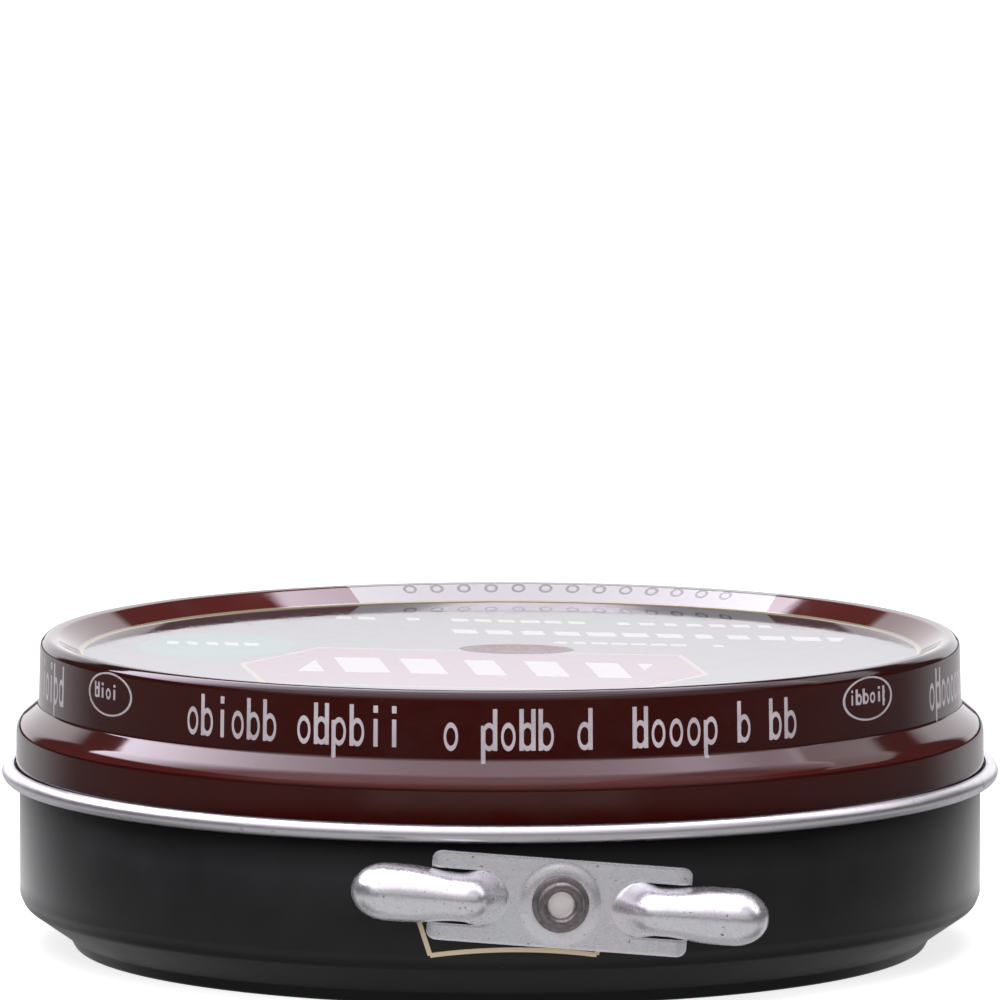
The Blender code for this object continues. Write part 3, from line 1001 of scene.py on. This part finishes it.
def bare_tin(name):
    """Bare tinplate, with the fine drawn lines and dull spots of an unlacquered edge."""
    g = Graph(name)
    lines = g.noise(2.2, 3.0, 0.6, (0.4, 0.4, 9.0))
    spots = g.noise(1.3, 4.0, 0.65)
    colour = g.mix(g.ramp(spots, 0.62, 0.75), TIN, TIN_DULL)
    rough = g.ramp(g.math("ADD", lines, spots), 0.7, 1.3, 0.3, 0.44)
    return g.finish(
        Base_Color=colour,
        Metallic=1.0,
        Roughness=rough,
        Normal=g.bump(lines, 0.006, 0.4),
    )


def line_below_key(g, angle, z):
    """A sagging line below the key, with a stroke that leans outwards and up at each of its ends."""
    reach = g.math("ABSOLUTE", g.math("SUBTRACT", angle, LINE_TURN))
    fall = g.math("MULTIPLY", g.math("MULTIPLY", reach, reach), -LINE_FALL)
    height = g.math("SUBTRACT", z, g.math("ADD", LINE_HEIGHT, fall))
    lower = g.all_of(g.inside(height, 0.0, LINE_HALF_WIDTH), g.math("LESS_THAN", reach, LINE_REACH))
    along_end = g.math("SUBTRACT", reach, g.math("MULTIPLY", height, LINE_END_LEAN))
    ends = g.all_of(
        g.inside(along_end, LINE_REACH, LINE_END_HALF_ANGLE),
        g.inside(height, LINE_END_HALF_HEIGHT, LINE_END_HALF_HEIGHT),
    )
    return g.any_of(lower, ends)


def black_enamel():
    """Satin black enamel with orange peel, dust and a plain printed line below the key.

    Its gloss is weaker just under the rolled edge and on the bottom bend, where the tin shades it.
    A sheen stands for the fine dust on the wall, which pales it where it turns away.
    """
    g = Graph("black_enamel")
    x, y, z = g.place()
    angle = angle_in_front(g, x, y)
    cloud = g.noise(0.25, 4.0)
    dust = g.noise(5.0, 2.0, 0.7)
    colour = g.mix(g.ramp(cloud, 0.3, 0.8), ENAMEL, ENAMEL_CLOUD)
    colour = g.mix(g.ramp(dust, 0.74, 0.8, 0.0, 0.5), colour, ENAMEL_DUST)
    line = g.all_of(line_below_key(g, angle, z), g.math("LESS_THAN", y, 0.0))
    colour = g.mix(line, colour, ENAMEL_LINE)
    rough = g.ramp(cloud, 0.3, 0.8, 0.38, 0.48)
    under_edge = g.ramp(z, *GLOSS_UNDER_EDGE, 0.12, 1.0)
    on_bend = g.ramp(z, *GLOSS_ON_BEND, 0.25, 1.0)
    return g.finish(
        Base_Color=colour,
        Roughness=rough,
        Normal=g.bump(g.noise(1.1, 2.0), 0.02, 0.4),
        Sheen_Weight=g.ramp(z, *SHEEN_ON_BEND, 0.1, 0.8),
        Sheen_Roughness=0.3,
        Specular_IOR_Level=g.math("MULTIPLY", g.math("MULTIPLY", under_edge, on_bend), 0.5),
    )


def zinc_plate():
    """Bright zinc plate with faint blue and warm tints, dull mottling and small dark pits."""
    g = Graph("zinc_plate")
    tint = g.noise(0.35, 2.0)
    mottle = g.noise(1.6, 4.0, 0.6)
    pits = g.noise(3.4, 2.0, 0.5)
    colour = g.mix(g.ramp(tint, 0.35, 0.65), ZINC_BLUE, ZINC_WARM)
    colour = g.mix(g.ramp(mottle, 0.5, 0.8, 0.0, 0.5), colour, ZINC_DULL)
    pit = g.ramp(pits, 0.69, 0.74)
    colour = g.mix(pit, colour, ZINC_PIT)
    rough = g.ramp(mottle, 0.3, 0.8, 0.2, 0.34)
    height = g.math("SUBTRACT", g.math("MULTIPLY", mottle, 0.5), pit)
    return g.finish(
        Base_Color=colour,
        Metallic=0.86,
        Roughness=rough,
        Normal=g.bump(height, 0.05, 0.5),
    )


def rivet_steel():
    """Dull brownish steel, the bore's floor painted paler than the rolled ring: painted light."""
    g = Graph("rivet_steel")
    x, y, z = g.place()
    mottle = g.noise(2.5, 4.0, 0.6)
    colour = g.mix(g.ramp(mottle, 0.35, 0.75), STEEL, STEEL_STAIN)
    radius = radius_of(g, x, y)
    near_axis = g.math("LESS_THAN", radius, RIVET_BORE_RADIUS)
    in_bore = g.all_of(near_axis, g.math("LESS_THAN", z, RING_MIDDLE))
    # The bore's floor is painted pale and less metallic: painted light on it
    colour = g.mix(in_bore, colour, STEEL_PAINTED_LIGHT)
    return g.finish(
        Base_Color=colour,
        Metallic=g.math("SUBTRACT", 1.0, g.math("MULTIPLY", in_bore, 0.4)),
        Roughness=g.ramp(mottle, 0.3, 0.8, 0.28, 0.45),
        Normal=g.bump(mottle, 0.04, 0.4),
    )


def wax():
    """Dark brown wax with a soft sheen and faint ripples from setting."""
    g = Graph("wax")
    cloud = g.noise(0.12, 4.0)
    grain = g.noise(1.4, 4.0, 0.6)
    colour = g.mix(g.ramp(cloud, 0.3, 0.75), WAX_DARK, WAX_PALE)
    height = g.math("ADD", g.math("MULTIPLY", cloud, 3.0), g.math("MULTIPLY", grain, 0.3))
    return g.finish(
        Base_Color=colour,
        Roughness=g.ramp(grain, 0.3, 0.8, 0.32, 0.5),
        Normal=g.bump(height, 0.12, 0.5),
        Subsurface_Weight=0.05,
    )


# ---------------------------------------------------------------- studio


def build_floor():
    """A plain white floor, lit evenly, which gloss doesn't mirror: the world stands for it there."""
    shape = bmesh.new()
    bmesh.ops.create_circle(shape, cap_ends=True, segments=64, radius=GROUND_RADIUS)
    mesh = bpy.data.meshes.new("floor")
    shape.to_mesh(mesh)
    shape.free()
    floor = linked("floor", mesh)
    floor.location = (0, 0, cad_low.z - GROUND_DROP)
    material = bpy.data.materials.new("floor_white")
    material.use_nodes = True
    shader = material.node_tree.nodes["Principled BSDF"]
    shader.inputs["Base Color"].default_value = (0.8, 0.8, 0.8, 1)
    shader.inputs["Roughness"].default_value = 0.8
    shader.inputs["Emission Color"].default_value = (1, 1, 1, 1)
    shader.inputs["Emission Strength"].default_value = FLOOR_GLOW
    mesh.materials.append(material)
    floor.visible_glossy = False


class WorldGraph:
    """The world's nodes, built with short calls."""

    def __init__(self):
        world = bpy.data.worlds.new("studio")
        bpy.context.scene.world = world
        world.use_nodes = True
        world.cycles_visibility.diffuse = False
        self.tree = world.node_tree
        self.tree.nodes.clear()

    def make(self, kind, *values, **settings):
        """A new node, with its inputs in order and its settings."""
        made = self.tree.nodes.new(kind)
        for key, value in settings.items():
            setattr(made, key, value)
        for index, value in enumerate(values):
            if isinstance(value, bpy.types.NodeSocket):
                self.tree.links.new(value, made.inputs[index])
            elif value is not None:
                made.inputs[index].default_value = value
        return made

    def math(self, operation, a, b=0.0):
        """One sum."""
        return self.make("ShaderNodeMath", a, b, operation=operation).outputs[0]

    def step(self, value, low, high):
        """A soft step: 0 below low, 1 above high. With low above high it falls instead."""
        rises = (value, low, high, 0.0, 1.0) if low < high else (value, high, low, 1.0, 0.0)
        return self.make("ShaderNodeMapRange", *rises, interpolation_type="SMOOTHSTEP").outputs[0]

    def product(self, *values):
        """All the values multiplied."""
        found = values[0]
        for value in values[1:]:
            found = self.math("MULTIPLY", found, value)
        return found

    def total(self, *values):
        """All the values added."""
        found = values[0]
        for value in values[1:]:
            found = self.math("ADD", found, value)
        return found


def soft_box(w, above, right, back):
    """The box overhead: bright at its back, dim at its front and past its middle to the right."""
    skewed = w.total(back, w.product(right, BOX_SKEW))
    dimmed = w.product(w.step(right, *BOX_DIM_EDGE), BOX_DIMMING)
    brighter = w.product(w.step(back, *BOX_BRIGHT_EDGE), BOX_BACK - BOX_FRONT)
    box = w.product(
        above,
        w.step(skewed, *BOX_BACK_EDGE),
        w.step(back, *BOX_FRONT_EDGE),
        w.step(w.math("ABSOLUTE", right), *BOX_SIDE_EDGES),
        w.math("SUBTRACT", 1.0, dimmed),
        w.total(BOX_FRONT, brighter),
    )
    side = w.product(
        above,
        w.step(skewed, *SIDE_FRONT_EDGE),
        w.step(back, *SIDE_BACK_EDGE),
        w.step(right, *SIDE_LEFT_EDGE),
        w.step(right, *SIDE_RIGHT_EDGE),
        BOX_SIDE,
    )
    return box, side


def pale_table(w, behind, back, up):
    """The table round the tin: paler behind, ahead and near below, and dark just under the back."""
    level_table = w.total(
        TABLE_NEAR,
        w.product(w.step(behind, *TABLE_BEHIND_EDGE), TABLE_BEHIND),
        w.product(w.step(behind, *TABLE_AHEAD_EDGE), TABLE_AHEAD),
    )
    low_table = w.product(w.step(up, *TABLE_LOW_EDGE), TABLE)
    under = w.product(w.step(back, *UNDER_BACK_EDGE), w.step(up, *UNDER_LOW_EDGE), TABLE_UNDER)
    return w.product(
        w.step(up, *TABLE_EDGE),
        w.math("SUBTRACT", w.math("MAXIMUM", level_table, low_table), under),
    )


def build_world():
    """White to the camera. To gloss, a studio: soft box overhead, white sweep behind, pale table."""
    w = WorldGraph()
    toward = w.make("ShaderNodeTexCoord").outputs["Generated"]
    facing = w.make("ShaderNodeVectorRotate", toward, rotation_type="Z_AXIS")
    facing.inputs["Angle"].default_value = radians(-CAMERA_TURN)
    parts = w.make("ShaderNodeSeparateXYZ", facing.outputs[0])
    right, back, up = parts.outputs[0], parts.outputs[1], parts.outputs[2]
    level = w.math("SQRT", w.total(w.product(right, right), w.product(back, back)))
    behind = w.math("DIVIDE", back, level)
    height = w.math("MAXIMUM", up, LEAST_HEIGHT)
    above = w.step(up, *ABOVE_EDGE)
    box, side = soft_box(w, above, w.math("DIVIDE", right, height), w.math("DIVIDE", back, height))
    sweep = w.product(above, w.step(behind, *SWEEP_SIDE_EDGES), w.step(up, *SWEEP_TOP_EDGE), SWEEP)
    ahead = w.product(w.step(behind, *AHEAD_EDGE), w.step(up, *AHEAD_UP_EDGE), ROOM_AHEAD)
    room = w.total(w.product(above, ROOM), ahead)
    rest = w.total(side, sweep, room, pale_table(w, behind, back, up))
    box_light = w.make("ShaderNodeBackground", BOX_LIGHT, box)
    rest_light = w.make("ShaderNodeBackground", ROOM_LIGHT, rest)
    both = w.make("ShaderNodeAddShader", box_light.outputs[0], rest_light.outputs[0])
    white = w.make("ShaderNodeBackground", (1, 1, 1, 1), 1.0)
    path = w.make("ShaderNodeLightPath").outputs["Is Camera Ray"]
    joined = w.make("ShaderNodeMixShader", path, both.outputs[0], white.outputs[0])
    w.make("ShaderNodeOutputWorld", joined.outputs[0])


def add_area_light(name, place, size, power, colour):
    """A soft square light aimed at the tin, for matt surfaces only: the world lights the gloss."""
    data = bpy.data.lights.new(name, "AREA")
    data.shape = "SQUARE"
    data.size = size
    data.energy = power
    data.color = colour
    light = bpy.data.objects.new(name, data)
    bpy.context.scene.collection.objects.link(light)
    light.location = place
    light.rotation_euler = (-Vector(place)).to_track_quat("-Z", "Y").to_euler()
    light.visible_camera = False
    light.visible_glossy = False


def build_lights():
    """A wide light overhead and a fill from the front."""
    add_area_light("top_light", TOP_PLACE, TOP_SIZE, TOP_POWER, TOP_COLOUR)
    add_area_light("front_fill", FILL_PLACE, FILL_SIZE, FILL_POWER, FILL_COLOUR)


def build_camera():
    """The camera, at the photograph's viewing angle."""
    turn = radians(CAMERA_TURN)
    data = bpy.data.cameras.new("camera")
    data.lens = CAMERA_LENS
    data.sensor_width = CAMERA_SENSOR
    data.clip_end = CAMERA_FAR
    camera = bpy.data.objects.new("camera", data)
    bpy.context.scene.collection.objects.link(camera)
    camera.location = (CAMERA_DISTANCE * sin(turn), -CAMERA_DISTANCE * cos(turn), CAMERA_HEIGHT)
    camera.rotation_euler = (radians(90 - CAMERA_TILT), 0, turn)
    bpy.context.scene.camera = camera


def build_scene():
    """Build the studio and every piece."""
    bpy.context.scene.view_settings.view_transform = "Standard"
    build_camera()
    build_world()
    build_lights()
    build_floor()
    build_lid()
    build_cup()
    build_wax()
    build_key()
    build_rivet()


build_scene()
